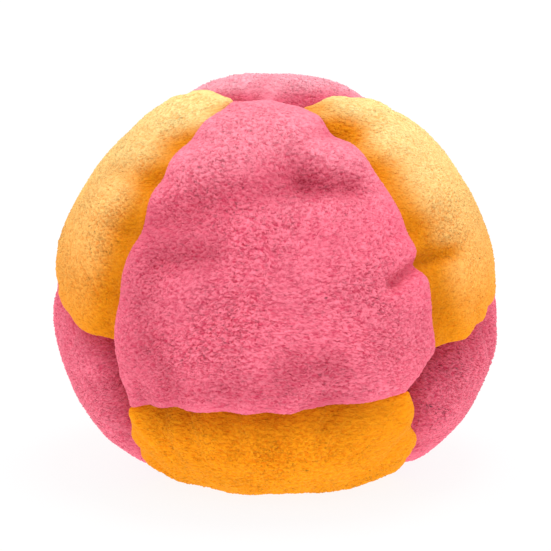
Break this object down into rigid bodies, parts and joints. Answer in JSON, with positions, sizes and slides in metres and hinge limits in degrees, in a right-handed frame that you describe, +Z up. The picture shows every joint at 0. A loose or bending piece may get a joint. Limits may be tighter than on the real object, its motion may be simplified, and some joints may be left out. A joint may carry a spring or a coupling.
{
  "type": "footbag",
  "caption": "Small hand-sewn kicking ball: large and triangular suede panels stitched edge to edge with turned-in seams over a loose pellet filling, settled on a flattened underside.",
  "frame": {"origin": "middle of the bounding box in plan, at the table the bag rests on", "axes": "+Z up from the table; -Y towards the viewer, whom the large front panel faces, tipped up a little; +X to the viewer's right"},
  "size_m": [0.0536, 0.0545, 0.0488],
  "materials": {
    "suede_pink": "matted nap",
    "suede_orange": "matted nap",
    "waxed_thread": "waxed",
    "plastic_pellets": "satin"
  },
  "bodies": {
    "root": {"front_panel": "suede_pink", "top_panel": "suede_pink", "lower_left_panel": "suede_pink", "lower_right_panel": "suede_pink", "left_panel": "suede_orange", "right_panel": "suede_orange", "base_panel": "suede_orange", "back_panel": "suede_orange", "thread_front_to_left": "waxed_thread", "thread_front_to_right": "waxed_thread", "thread_front_to_base": "waxed_thread", "thread_front_to_top": "waxed_thread", "thread_front_to_lower_right": "waxed_thread", "thread_front_to_lower_left": "waxed_thread", "thread_top_to_left": "waxed_thread", "thread_top_to_right": "waxed_thread", "thread_lower_left_to_left": "waxed_thread", "thread_lower_right_to_right": "waxed_thread", "thread_lower_left_to_base": "waxed_thread", "thread_lower_right_to_base": "waxed_thread", "thread_top_to_back": "waxed_thread", "thread_lower_left_to_back": "waxed_thread", "thread_lower_right_to_back": "waxed_thread", "thread_top_to_lower_left": "waxed_thread", "thread_top_to_lower_right": "waxed_thread", "thread_lower_left_to_lower_right": "waxed_thread", "pellet_filling": "plastic_pellets"}
  },
  "joints": []
}
